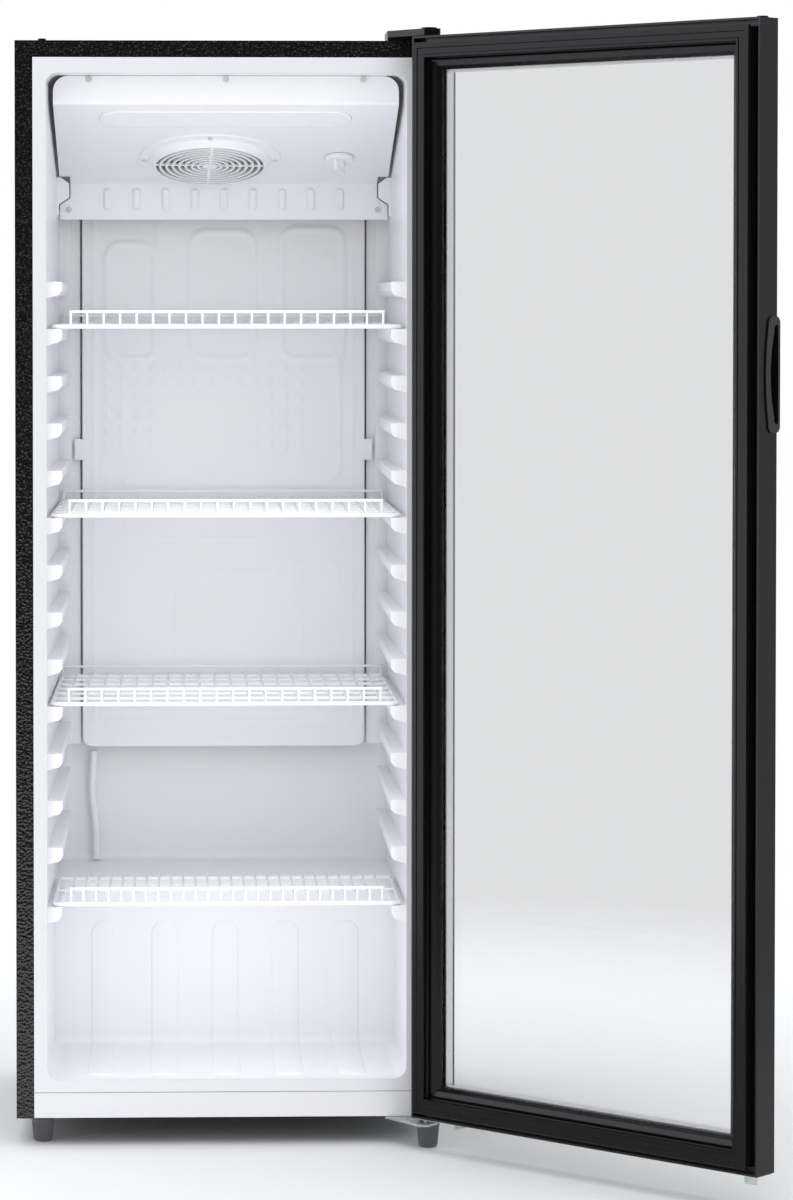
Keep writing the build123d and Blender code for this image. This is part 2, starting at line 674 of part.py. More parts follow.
def hinge_bolts():
    made = []
    for x, y in ((244, 20), (244, 58), (284, 58)):
        head = extrude(Plane.XY.offset(BODY_TOP + 3) * (Pos(x, y) * RegularPolygon(6.4, 6)), 4.5)
        made.append(head)
    for x, y in ((240, 14), (240, 46), (284, 46)):
        z = BRACKET_TOP - BRACKET_T
        head = extrude(Plane.XY.offset(z - 4.5) * (Pos(x, y) * RegularPolygon(6.4, 6)), 4.5)
        made.append(head)
    return made


def foot_studs():
    made = []
    for name, (x, y) in FEET.items():
        top = BODY_BOTTOM - (BRACKET_T if name == "foot_front_right" else 0)
        stud = rod((x, y, 8), (x, y, top), 4)
        nut = extrude(Plane.XY.offset(top - 3) * (Pos(x, y) * RegularPolygon(8, 6)), 3)
        made.append(stud + nut)
    return made


def foot(x, y):
    """A fluted conical levelling foot that screws up and down on a fixed stud."""
    profile = [(4.1, 6), (4.1, FOOT_H), (16.4, FOOT_H), (16.4, FOOT_H - 4.5), (15.8, FOOT_H - 5.2)]
    profile += [(13.7, 4), (12.8, 1.4), (10.8, 0), (0, 0), (0, 6)]
    body = revolve(Plane.XZ * make_face(Polyline(*profile, close=True).edges()), Axis.Z)
    flutes = []
    for i in range(FLUTES):
        flute = rod((15.9, 0, FOOT_H - 5.2), (13.8, 0, 4), 1.0)
        flutes.append(Rot(0, 0, 360 / FLUTES * i) * flute)
    return Pos(x, y, 0) * body.cut(*flutes)


def hole_plug():
    return rod((-262, 22, BODY_TOP), (-262, 22, BODY_TOP + 3.6), 5.8)


# ---------------------------------------------------------------- door
def member(profile, start, end, along, inward):
    """A frame member: its section, in (distance in from the edge, Y), run from start to end."""
    plane = Plane(origin=start, x_dir=inward, z_dir=along)
    flip = 1 if plane.y_dir.Y > 0 else -1
    face = make_face(Polyline(*[(u, flip * v) for u, v in profile], close=True).edges())
    length = (Vector(*end) - Vector(*start)).length
    return extrude(plane * face, length)


SIDES = ("hinge", "handle", "top", "bottom")


def mitred(profile, which):
    """One of the door's four frame members with its ends cut at 45 degrees."""
    x, lo, hi = DOOR_HALF, DOOR_BOTTOM, DOOR_TOP
    runs = {
        "hinge": ((x, 0, lo), (x, 0, hi), (0, 0, 1), (-1, 0, 0)),
        "handle": ((-x, 0, lo), (-x, 0, hi), (0, 0, 1), (1, 0, 0)),
        "top": ((-x, 0, hi), (x, 0, hi), (1, 0, 0), (0, 0, -1)),
        "bottom": ((-x, 0, lo), (x, 0, lo), (1, 0, 0), (0, 0, 1)),
    }
    start, end, along, inward = runs[which]
    bar = member(profile, start, end, along, inward)
    w = 120.0
    corners = {
        "hinge": [(x, lo), (x - w, lo + w), (x - w, hi - w), (x, hi)],
        "handle": [(-x, lo), (-x + w, lo + w), (-x + w, hi - w), (-x, hi)],
        "top": [(-x, hi), (-x + w, hi - w), (x - w, hi - w), (x, hi)],
        "bottom": [(-x, lo), (-x + w, lo + w), (x - w, lo + w), (x, lo)],
    }
    cut = make_face(Polyline(*[(a, 0, b) for a, b in corners[which]], close=True).edges())
    return bar & extrude(cut, 80, both=True, dir=(0, 1, 0))


def frame_profile():
    """Section of the door's extrusion: rim, groove, glass rebate and front lip."""
    w, y0, y1 = FRAME_W, DOOR_FRONT_Y, DOOR_INNER_Y
    return [
        (0, y0 + 2),
        (2, y0),
        (w - 2, y0),
        (w, y0 + 2),
        (w, y0 + 8),
        (27, y0 + 8),
        (27, y1 - 8),
        (11, y1 - 8),
        (11, y1 - 14),
        (3, y1 - 14),
        (3, y1),
        (0, y1),
    ]


def bush_holes():
    return [
        rod((PIVOT_X, PIVOT_Y, DOOR_BOTTOM - 5), (PIVOT_X, PIVOT_Y, DOOR_BOTTOM + 22), 7),
        rod((PIVOT_X, PIVOT_Y, DOOR_TOP - 22), (PIVOT_X, PIVOT_Y, DOOR_TOP + 5), 7),
    ]


HANDLE_Z0, HANDLE_Z1 = 1030.0, 1184.0


def handle_pocket(grow=0.0):
    """The space that the handle's cup takes out of the door's free edge."""
    return block(
        -DOOR_HALF - 1, -DOOR_HALF + 21 + grow, -53.8 - grow, -32 + grow,
        HANDLE_Z0 + 7 - grow, HANDLE_Z1 - 7 + grow,
    )


def frame_member(which):
    solid = mitred(frame_profile(), which)
    chamber = [(4, -51.5), (23.5, -51.5), (23.5, -29.5), (4, -29.5)]
    hollow = mitred(chamber, which)
    solid -= hollow
    for hole in bush_holes():
        solid -= hole
    if which == "handle":
        solid -= handle_pocket(0.2)
    return solid


def seal_carrier():
    """The inner trim that clamps the glass and carries the seal."""
    w, y = FRAME_W, DOOR_INNER_Y
    section = [
        (12, y - 7.8), (27.2, y - 7.8), (27.2, y - 12.8), (w, y - 12.8),
        (w, y - 8.5), (w - 5, y - 3), (w - 12, y), (12, y),
    ]
    return [mitred(section, which) for which in SIDES]


def door_gasket():
    """The magnetic seal: base, bellows and magnet pocket, all round the door."""
    y = DOOR_INNER_Y
    section = [
        (13.5, y + 0.1), (36, y + 0.1), (37, y + 3.0), (35, y + 2.6), (32.5, y + 1.6), (29.5, y + 3.5),
        (29.5, y + 5), (31.6, y + 6.5), (31.6, y + 10.3), (30.6, y + 11.3), (27.4, y + 11.3),
        (26.4, y + 10.2), (18.6, y + 10.2), (17.6, y + 11.3), (11.0, y + 11.3), (10.0, y + 10.3),
        (10.0, y + 6.5), (16, y + 5), (16, y + 3.5), (13.5, y + 2),
    ]
    return [mitred(section, which) for which in SIDES]


def glass_pane(y0, y1):
    edge = 28.5
    return block(
        -DOOR_HALF + edge, DOOR_HALF - edge, y0, y1, DOOR_BOTTOM + edge, DOOR_TOP - edge
    )


def glass_spacer():
    """The aluminium bars that hold the two panes apart."""
    section = [(36, -42.9), (51.5, -42.9), (51.5, -29.1), (36, -29.1)]
    return [mitred(section, which) for which in SIDES]


def handle_grip():
    """The finger pocket let into the free edge, with its raised bezel and front lip."""
    x = -DOOR_HALF
    mid = (HANDLE_Z0 + HANDLE_Z1) / 2
    half = (HANDLE_Z1 - HANDLE_Z0) / 2
    front, back_mid, back_end = -57.5, -25.0, -31.0
    edge = [
        Line((front, -half + 9), (front, half - 9)),
        RadiusArc((front, half - 9), (front + 9, half), 9),
        Line((front + 9, half), (back_end - 8, half)),
        RadiusArc((back_end - 8, half), (back_end, half - 12), 11),
        ThreePointArc((back_end, half - 12), (back_mid, 0), (back_end, -half + 12)),
        RadiusArc((back_end, -half + 12), (back_end - 8, -half), 11),
        Line((back_end - 8, -half), (front + 9, -half)),
        RadiusArc((front + 9, -half), (front, -half + 9), 9),
    ]
    outline = make_face(edge)
    bezel = extrude(side_plane(x - 2.2) * (Pos(0, mid) * outline), 2.1)
    lip = block(x - 2.2, x + 10, front, -55.1, HANDLE_Z0 + 10, HANDLE_Z1 - 10)
    cup = block(x - 0.3, x + 21, -53.8, -32, HANDLE_Z0 + 7, HANDLE_Z1 - 7)
    slot_front, slot_mid, slot_end, tall = -53.0, -35.5, -44.0, half - 11
    slot = [
        Line((slot_front, -tall + 4), (slot_front, tall - 4)),
        RadiusArc((slot_front, tall - 4), (slot_front + 4, tall), 4),
        RadiusArc((slot_front + 4, tall), (slot_end, tall - 9), 7),
        ThreePointArc((slot_end, tall - 9), (slot_mid, 0), (slot_end, -tall + 9)),
        RadiusArc((slot_end, -tall + 9), (slot_front + 4, -tall), 7),
        RadiusArc((slot_front + 4, -tall), (slot_front, -tall + 4), 4),
    ]
    finger = extrude(side_plane(x - 4) * (Pos(0, mid) * make_face(slot)), 23)
    return bezel.fuse(lip, cup) - finger


def hinge_bushes():
    made = []
    for z0, z1 in ((DOOR_BOTTOM, DOOR_BOTTOM + 22), (DOOR_TOP - 22, DOOR_TOP)):
        bush = rod((PIVOT_X, PIVOT_Y, z0), (PIVOT_X, PIVOT_Y, z1), 6.98)
        made.append(bush - rod((PIVOT_X, PIVOT_Y, z0 - 1), (PIVOT_X, PIVOT_Y, z1 + 1), 4.04))
    return made


def hinge_plate():
    """The zinc plate under the door's hinge end, with its opening stop."""
    plate = block(222, 294, -50, -19, DOOR_BOTTOM - 2.5, DOOR_BOTTOM - 0.1)
    stop = block(222, 224.5, -50, -19, 38, DOOR_BOTTOM - 0.1)
    return plate + stop - rod((PIVOT_X, PIVOT_Y, 30), (PIVOT_X, PIVOT_Y, 60), 8)


def free_end_plate():
    """The matching plate at the free end, kept for hanging the door on its other side."""
    plate = block(-294, -262, -50, -19, DOOR_BOTTOM - 2.0, DOOR_BOTTOM - 0.1)
    tab = block(-292, -273, -21.5, -19, 35, DOOR_BOTTOM - 0.1)
    return plate + tab - rod((-PIVOT_X, PIVOT_Y, 30), (-PIVOT_X, PIVOT_Y, 60), 8)


def door_plugs():
    return [
        rod((-PIVOT_X, PIVOT_Y, DOOR_TOP), (-PIVOT_X, PIVOT_Y, DOOR_TOP + 2.4), 7.5),
        rod((-PIVOT_X, PIVOT_Y, DOOR_BOTTOM - 2.6), (-PIVOT_X, PIVOT_Y, DOOR_BOTTOM), 7.5),
    ]


# ---------------------------------------------------------------- build every node
save("cabinet_wrapper", cabinet_wrapper())
save("rear_panel", rear_panel())
save("compressor_bulkhead", bulkhead())
save("base_pan", base_pan())
save("kick_panel", kick_panel())
save("inner_liner", liner())
save("insulation", foam())
save("evaporator_plate", evaporator_plate())
save("evaporator_clips", *evaporator_clips())
save("suction_tube", suction_tube())
save("air_hood", air_hood())
save("hood_screws", *hood_screws())
save("fan_grille", fan_grille())
save("fan_blades", fan_blades())
save("fan_motor", fan_motor())
save("fan_bracket", fan_bracket())
save("thermostat_body", thermostat_body())
save("thermostat_knob", thermostat_knob())
save("lamp_lens", lamp_lens())
save("lamp_board", lamp_board())
save("compressor", compressor())
save("compressor_grommets", *compressor_grommets())
save("compressor_bolts", *compressor_bolts())
save("compressor_relay_cover", relay_cover())
save("drip_tray", drip_tray())
save("discharge_tube", discharge_tube())
save("filter_drier", *filter_drier())
save("condenser_coil", condenser_coil(), *condenser_brackets())
save("condenser_wires", *condenser_wires())
save("rear_cover", rear_cover())
save("cord_gland", cord_gland())
save("rear_screws", *rear_screws())
save("hinge_bracket_bottom", bottom_bracket())
save("hinge_pins", hinge_pin_bottom(), hinge_pin_top())
save("hinge_bracket_top", top_bracket())
save("hinge_cover_top", top_hinge_cover())
save("hinge_bolts", *hinge_bolts())
save("foot_studs", *foot_studs())
save("hinge_hole_plug", hole_plug())

for shelf_name, level in SHELF_LEVELS.items():
    save(shelf_name, *shelf(level, 430, 20, 5, shift=SHELF_SHIFTS[shelf_name]))
save("shelf_4", *shelf(LOW_SHELF_Z, 257, 26, 1, lip_h=25.3, tail=9.0, back_rail=False))

for foot_name, (foot_x, foot_y) in FEET.items():
    save(foot_name, foot(foot_x, foot_y))

for member_name in ("hinge", "handle"):
    save_door(f"door_stile_{member_name}", frame_member(member_name))
for member_name in ("top", "bottom"):
    save_door(f"door_rail_{member_name}", frame_member(member_name))
save_door("door_seal_carrier", *seal_carrier())
save_door("door_gasket", *door_gasket())
save_door("glass_inner", glass_pane(-29.0, -25.0))
save_door("glass_outer", glass_pane(-46.9, -43.0))
save_door("glass_spacer", *glass_spacer())
save_door("handle_grip", handle_grip())
save_door("hinge_bushes", *hinge_bushes())
save_door("door_end_plates", hinge_plate(), free_end_plate())
save_door("door_hole_plugs", *door_plugs())
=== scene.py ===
import json
import math

import bmesh
import bpy
import numpy as np
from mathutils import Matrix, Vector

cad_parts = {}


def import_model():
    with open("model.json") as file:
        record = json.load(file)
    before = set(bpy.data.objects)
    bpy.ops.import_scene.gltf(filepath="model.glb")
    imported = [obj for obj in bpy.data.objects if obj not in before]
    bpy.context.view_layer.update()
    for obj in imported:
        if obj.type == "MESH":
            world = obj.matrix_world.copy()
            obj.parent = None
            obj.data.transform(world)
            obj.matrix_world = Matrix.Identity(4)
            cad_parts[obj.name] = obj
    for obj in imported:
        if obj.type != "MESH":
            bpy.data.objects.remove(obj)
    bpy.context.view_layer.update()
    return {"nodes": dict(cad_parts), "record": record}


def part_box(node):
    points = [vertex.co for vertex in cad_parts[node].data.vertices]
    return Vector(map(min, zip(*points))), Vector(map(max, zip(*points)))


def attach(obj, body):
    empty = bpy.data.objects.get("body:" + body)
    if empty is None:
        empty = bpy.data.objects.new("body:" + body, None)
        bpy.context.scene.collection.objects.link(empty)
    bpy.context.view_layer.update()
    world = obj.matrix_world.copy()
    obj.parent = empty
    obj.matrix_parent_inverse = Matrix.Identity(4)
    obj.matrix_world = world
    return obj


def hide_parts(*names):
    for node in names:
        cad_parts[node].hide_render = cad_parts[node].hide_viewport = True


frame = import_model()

MM = 0.001
nodes = frame["nodes"]
scene = bpy.context.scene


# ---------------------------------------------------------------- materials
def tree_of(name):
    """A new material with its nodes, links and main shader."""
    mat = bpy.data.materials.new(name)
    mat.use_nodes = True
    graph, links = mat.node_tree.nodes, mat.node_tree.links
    return mat, graph, links, graph["Principled BSDF"]


def grey(value):
    return (value,) * 3


def noise(graph, links, scale, detail=3.0, rough=0.5):
    """A noise texture in metres of the row frame; scale is per metre."""
    coords = graph.new("ShaderNodeTexCoord")
    tex = graph.new("ShaderNodeTexNoise")
    tex.inputs["Scale"].default_value = scale
    tex.inputs["Detail"].default_value = detail
    tex.inputs["Roughness"].default_value = rough
    links.new(coords.outputs["Object"], tex.inputs["Vector"])
    return tex


def ramp(graph, links, source, low, high, at=(0.3, 0.7)):
    """Maps a texture's value onto two colours."""
    node = graph.new("ShaderNodeValToRGB")
    first, last = node.color_ramp.elements
    first.position, last.position = at
    first.color, last.color = (*low, 1), (*high, 1)
    links.new(source, node.inputs["Fac"])
    return node


def bump(graph, links, shader, height, strength, distance):
    """Raises the surface by a texture's value; distance is in metres."""
    node = graph.new("ShaderNodeBump")
    node.inputs["Strength"].default_value = strength
    node.inputs["Distance"].default_value = distance
    links.new(height, node.inputs["Height"])
    links.new(node.outputs["Normal"], shader.inputs["Normal"])


def surface(name, colour, roughness, metallic=0.0, coat=0.0, specular=0.5, **look):
    """A painted, moulded or metal surface whose colour, gloss and relief vary slightly.

    look: vary (share of the colour), spread (of the roughness), scale (of the mottling, per metre),
    relief (bump height in metres), relief_scale (per metre).
    """
    mat, graph, links, shader = tree_of(name)
    shader.inputs["Metallic"].default_value = metallic
    shader.inputs["Coat Weight"].default_value = coat
    shader.inputs["Coat Roughness"].default_value = 0.08
    shader.inputs["Specular IOR Level"].default_value = specular
    vary, spread = look.get("vary", 0.04), look.get("spread", 0.06)
    mottle = noise(graph, links, look.get("scale", 9.0), detail=4.0, rough=0.55).outputs["Fac"]
    tint = ramp(graph, links, mottle, [c * (1 - vary) for c in colour], colour)
    links.new(tint.outputs["Color"], shader.inputs["Base Color"])
    glossy, matt = max(roughness - spread, 0.02), roughness + spread
    gloss = ramp(graph, links, mottle, grey(glossy), grey(matt))
    links.new(gloss.outputs["Color"], shader.inputs["Roughness"])
    if look.get("relief"):
        grain = noise(graph, links, look.get("relief_scale", 900.0), detail=2.0)
        bump(graph, links, shader, grain.outputs["Fac"], strength=0.6, distance=look["relief"])
    return mat


def embossed_steel():
    """Black paint over steel sheet rolled with a leather grain."""
    grains_per_metre, grain_height, wander = 250.0, 0.0016, 0.0022
    valley_to_ridge = (0.1, 0.9)
    mat, graph, links, shader = tree_of("black_embossed_steel")
    shader.inputs["Specular IOR Level"].default_value = 1.0
    coords = graph.new("ShaderNodeTexCoord")
    cells = graph.new("ShaderNodeTexVoronoi")
    cells.feature = "SMOOTH_F1"
    cells.inputs["Scale"].default_value = grains_per_metre
    cells.inputs["Smoothness"].default_value = 0.45
    cells.inputs["Randomness"].default_value = 1.0
    warp = noise(graph, links, 260.0, detail=2.0)
    mix = graph.new("ShaderNodeVectorMath")
    mix.operation = "MULTIPLY_ADD"
    mix.inputs[1].default_value = grey(wander)
    links.new(warp.outputs["Color"], mix.inputs[0])
    links.new(coords.outputs["Object"], mix.inputs[2])
    links.new(mix.outputs["Vector"], cells.inputs["Vector"])
    grain = cells.outputs["Distance"]
    bump(graph, links, shader, grain, strength=0.85, distance=grain_height)
    tint = ramp(graph, links, grain, (0.006, 0.006, 0.0065), grey(0.002), valley_to_ridge)
    links.new(tint.outputs["Color"], shader.inputs["Base Color"])
    gloss = ramp(graph, links, grain, grey(0.1), grey(0.3), valley_to_ridge)
    links.new(gloss.outputs["Color"], shader.inputs["Roughness"])
    return mat


def glass():
    """Clear panes with a faint uneven film."""
    mat, graph, links, shader = tree_of("glass_clear")
    shader.inputs["Base Color"].default_value = (0.965, 0.967, 0.97, 1)
    shader.inputs["Transmission Weight"].default_value = 1.0
    shader.inputs["IOR"].default_value = 1.45
    film = noise(graph, links, 3.0)
    haze = ramp(graph, links, film.outputs["Fac"], grey(0.0), grey(0.015))
    links.new(haze.outputs["Color"], shader.inputs["Roughness"])
    return mat


def diffuser():
    """Opal plastic over the lamp."""
    mat, graph, links, shader = tree_of("lamp_diffuser")
    shader.inputs["Subsurface Weight"].default_value = 0.1
    shader.inputs["Subsurface Scale"].default_value = 0.004
    shader.inputs["Specular IOR Level"].default_value = 0.5
    milk = noise(graph, links, 30.0, detail=2.0).outputs["Fac"]
    tint = ramp(graph, links, milk, (0.88, 0.89, 0.92), (0.9, 0.91, 0.94))
    gloss = ramp(graph, links, milk, grey(0.2), grey(0.26))
    links.new(tint.outputs["Color"], shader.inputs["Base Color"])
    links.new(gloss.outputs["Color"], shader.inputs["Roughness"])
    return mat


MATERIALS = {
    "black_embossed_steel": embossed_steel(),
    "black_paint": surface(
        "black_paint", (0.008, 0.008, 0.009), 0.3, specular=0.3, relief=0.00004,
    ),
    "zinc_steel": surface(
        "zinc_steel", (0.56, 0.60, 0.59), 0.32, 0.55,
        vary=0.16, spread=0.1, scale=45.0, relief=0.00003, relief_scale=400.0,
    ),
    "white_plastic": surface(
        "white_plastic", (0.88, 0.88, 0.915), 0.3, specular=0.45,
        vary=0.004, spread=0.015, scale=2.0, relief=0.00002, relief_scale=160.0,
    ),
    "white_paint": surface(
        "white_paint", (0.885, 0.885, 0.92), 0.38,
        vary=0.004, spread=0.015, scale=2.0, relief=0.00002,
    ),
    "white_wire": surface(
        "white_wire", (0.85, 0.865, 0.89), 0.24, coat=0.3,
        vary=0.01, scale=60.0, spread=0.02, relief=0.00004, relief_scale=500.0,
    ),
    "foam": surface(
        "foam", (0.80, 0.70, 0.44), 0.85, vary=0.2, relief=0.0006, relief_scale=300.0,
    ),
    "black_plastic": surface(
        "black_plastic", (0.0065, 0.0065, 0.007), 0.27, specular=0.26,
        spread=0.03, relief=0.00003, relief_scale=500.0,
    ),
    "black_rubber": surface(
        "black_rubber", (0.005, 0.005, 0.0055), 0.2, specular=0.16,
        spread=0.03, relief=0.00005, relief_scale=60.0,
    ),
    "grey_rubber": surface("grey_rubber", (0.12, 0.122, 0.126), 0.45, vary=0.1, relief=0.0001),
    "copper": surface("copper", (0.72, 0.33, 0.2), 0.3, 1.0, vary=0.3, scale=60.0),
    "aluminium": surface(
        "aluminium", (0.72, 0.73, 0.75), 0.3, 1.0, vary=0.06, relief=0.00004, relief_scale=900.0,
    ),
    "glass_clear": glass(),
    "lamp_diffuser": diffuser(),
    "machine_black": surface("machine_black", (0.012, 0.012, 0.014), 0.3, coat=0.2, relief=0.0001),
}


def paint_cad_nodes():
    """Gives every CAD node the material of its slot."""
    for entry in frame["record"]["subparts"]:
        data = nodes[entry["node"]].data
        data.materials.clear()
        data.materials.append(MATERIALS[entry["material_slot"]])


paint_cad_nodes()
# The hood's screws have a paler plating than the hinges.
nodes["hood_screws"].data.materials[0] = surface(
    "zinc_screw", (0.74, 0.76, 0.78), 0.3, 0.25,
    vary=0.1, scale=60.0, relief=0.00003, relief_scale=400.0,
)
# The grip is polished by hands, so its edges shine more than the frame's.
nodes["handle_grip"].data.materials[0] = surface(
    "black_polished", (0.006, 0.006, 0.0065), 0.16, specular=0.55,
    spread=0.03, relief=0.00002, relief_scale=500.0,
)

# Edge radii of the sheets and mouldings, in millimetres. Wires, tubes and panes have none.
EDGE_RADII = {
    "cabinet_wrapper": 0.3, "rear_panel": 0.25, "kick_panel": 0.7, "inner_liner": 0.9,
    "air_hood": 0.9, "door_stile_hinge": 0.8, "door_stile_handle": 0.8, "door_rail_top": 0.8,
    "door_rail_bottom": 0.8, "door_seal_carrier": 0.7, "door_gasket": 0.7, "handle_grip": 1.1,
    "fan_grille": 0.5, "thermostat_knob": 0.8, "hinge_cover_top": 0.9, "hinge_bracket_top": 0.5,
    "hinge_bracket_bottom": 0.5, "door_end_plates": 0.4, "hinge_bolts": 0.4, "foot_studs": 0.3,
    "hood_screws": 0.4, "rear_screws": 0.4, "rear_cover": 0.2, "base_pan": 0.3,
    "compressor_relay_cover": 1.0, "door_hole_plugs": 0.5, "hinge_hole_plug": 0.5,
    "fan_blades": 0.4,
}


def soften_edges():
    for name, radius in EDGE_RADII.items():
        bevel = nodes[name].modifiers.new("edge radius", "BEVEL")
        bevel.width = radius * MM
        bevel.segments = 2
        bevel.limit_method = "ANGLE"
        bevel.angle_limit = math.radians(40)
        bevel.harden_normals = True


soften_edges()


# ---------------------------------------------------------------- pieces
def piece(name, verts, faces, slot, body):
    """A smooth closed mesh in millimetres of the row frame that rides on a body."""
    data = bpy.data.meshes.new(name)
    data.from_pydata([tuple(c * MM for c in v) for v in verts], [], faces)
    shell = bmesh.new()
    shell.from_mesh(data)
    bmesh.ops.recalc_face_normals(shell, faces=shell.faces)
    shell.to_mesh(data)
    shell.free()
    data.polygons.foreach_set("use_smooth", [True] * len(data.polygons))
    data.update()
    obj = bpy.data.objects.new(name, data)
    scene.collection.objects.link(obj)
    data.materials.append(MATERIALS[slot])
    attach(obj, body)
    return obj


def grid_faces(rows, cols, wrap=False):
    """Quads between the rows of a grid of points; wrap joins each row's ends."""
    faces = []
    for i in range(rows - 1):
        for j in range(cols if wrap else cols - 1):
            k = (j + 1) % cols
            faces.append((i * cols + j, i * cols + k, (i + 1) * cols + k, (i + 1) * cols + j))
    return faces


def tube_faces(rings, count):
    """Quads between rings of count points, and a cap on each end."""
    total = rings * count
    caps = [tuple(range(count)), tuple(range(total - count, total))]
    return grid_faces(rings, count, wrap=True) + caps


def swell(distance, half, height):
    """The height of a half-elliptic section at a distance from its middle."""
    return height * np.sqrt(np.clip(1 - (distance / half) ** 2, 0, 1))


def box_of(node):
    """Lowest and highest corner of a CAD node, in millimetres and to the micrometre."""
    return [np.round(np.array(corner) / MM, 3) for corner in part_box(node)]


# ---- evaporator plate: two bonded sheets with the refrigerant passages blown up between them
(_, _, PLATE_Z0), (PLATE_HALF, PLATE_BACK, PLATE_Z1) = box_of("evaporator_plate")
PLATE_T, PLATE_CORNER = 1.6, 15.0
PLATE_COLS, PLATE_ROWS = 190, 360  # points of its mesh
# Half width and height of a passage's section.
WIDE, NARROW, FAINT, DIMPLE = (5.5, 1.9), (3.0, 0.9), (3.5, 0.8), (5.0, 1.6)
# Loops between x0 and x1 and between z0 and z1, with their corner radii.
LOOPS, LOOP_CORNER = [(-178, -104, 1116, 1292), (-49, 46, 1116, 1311), (89, 183, 1116, 1315)], 22
FAINT_LOOPS, FAINT_CORNER = [(-73, 122, 655, 787), (106, 175, 757, 803), (-150, 60, 840, 880)], 8
# Runs through points (x, z).
WIDE_RUNS = [[(-99, 1336), (-99, 1251)], [(177, 1116), (177, 945), (160, 925), (-150, 925)]]
NARROW_RUNS = [[(-198, 1340), (-198, 560), (198, 560), (198, 1340)]]
# Field of upright dimples, counted down and to the right from its first one.
FIELD_X, FIELD_Z, FIELD_COLS, FIELD_ROWS = -178.0, 1103.0, 14, 6
PITCH_X, PITCH_Z, DIMPLE_REACH = 22.7, 24.1, 3


def segment_distance(x, z, a, b):
    """Distance of every grid point from the segment a-b."""
    dx, dz = b[0] - a[0], b[1] - a[1]
    t = ((x - a[0]) * dx + (z - a[1]) * dz) / (dx * dx + dz * dz)
    t = np.clip(t, 0, 1)
    return np.hypot(x - a[0] - t * dx, z - a[1] - t * dz)


def ring_distance(x, z, x0, x1, z0, z1, radius):
    """Distance of every grid point from a rounded rectangle's outline."""
    cx, cz = (x0 + x1) / 2, (z0 + z1) / 2
    qx = np.abs(x - cx) - (x1 - x0) / 2 + radius
    qz = np.abs(z - cz) - (z1 - z0) / 2 + radius
    outside = np.hypot(np.maximum(qx, 0), np.maximum(qz, 0))
    return np.abs(outside + np.minimum(np.maximum(qx, qz), 0) - radius)


def dimples():
    """Ends of each dimple; the field has a bare place below its middle."""
    for row in range(FIELD_ROWS):
        for col in range(FIELD_COLS):
            if row in (2, 3) and 4 <= col <= 10 or row > 3 and 4 <= col <= 9:
                continue
            x, z = FIELD_X + col * PITCH_X, FIELD_Z - row * PITCH_Z
            yield (x, z - DIMPLE_REACH), (x, z + DIMPLE_REACH)


def plate_relief(x, z):
    """Height of the plate's front over its flat parts."""
    h = np.zeros_like(x)
    for loops, corner, section in ((LOOPS, LOOP_CORNER, WIDE), (FAINT_LOOPS, FAINT_CORNER, FAINT)):
        for loop in loops:
            h = np.maximum(h, swell(ring_distance(x, z, *loop, corner), *section))
    for runs, section in ((WIDE_RUNS, WIDE), (NARROW_RUNS, NARROW), (dimples(), DIMPLE)):
        for run in runs:
            for a, b in zip(run, run[1:]):
                h = np.maximum(h, swell(segment_distance(x, z, a, b), *section))
    return h


def plate_width(z):
    """Half width of the plate at a height, with its rounded lower corners."""
    drop = np.clip(PLATE_Z0 + PLATE_CORNER - z, 0, PLATE_CORNER)
    inset = np.sqrt(np.clip(PLATE_CORNER**2 - drop**2, 0, None))
    return PLATE_HALF - PLATE_CORNER + inset


def evaporator_plate():
    """Front and back grids of points, joined round their rim."""
    cols, rows = PLATE_COLS, PLATE_ROWS
    z = np.linspace(PLATE_Z0, PLATE_Z1, rows)
    grid_x = plate_width(z)[:, None] * np.linspace(-1, 1, cols)[None, :]
    grid_z = np.repeat(z[:, None], cols, 1)
    grid_y = PLATE_BACK - PLATE_T - plate_relief(grid_x, grid_z)
    front = np.stack([grid_x, grid_y, grid_z], -1).reshape(-1, 3)
    back = front.copy()
    back[:, 1] = PLATE_BACK
    verts = np.concatenate([front, back]).tolist()
    faces = grid_faces(rows, cols)
    count = rows * cols
    faces += [tuple(count + i for i in reversed(f)) for f in faces]
    rim = list(range(cols))
    rim += [i * cols + cols - 1 for i in range(1, rows)]
    rim += [(rows - 1) * cols + j for j in range(cols - 2, -1, -1)]
    rim += [i * cols for i in range(rows - 2, 0, -1)]
    for a, b in zip(rim, rim[1:] + rim[:1]):
        faces.append((b, a, count + a, count + b))
    plate = piece("evaporator_plate_embossed", verts, faces, "white_paint", "cabinet")
    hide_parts("evaporator_plate")


evaporator_plate()

# ---- stiffening ribs moulded in the liner: down the step's front and forward along the floor
FLOOR_Z, FLOOR_FILLET, STEP_Y = 94.0, 14.0, 286.0
RIB_TOP, RIB_FRONT = 279.0, 34.0
RIB_HALF, RIB_H, RIB_PITCH = 20.5, 1.7, 90
RIB_END = 0.02  # share of the width that is left at the very ends
# The section's points, as shares of the half width and of the height.
RIB_SECTION = [
    (-1, -0.3), (-0.97, 0.25), (-0.9, 0.75), (-0.8, 1),
    (0.8, 1), (0.9, 0.75), (0.97, 0.25), (1, -0.3),
]
QUARTER = np.linspace(0, math.pi / 2, 9)


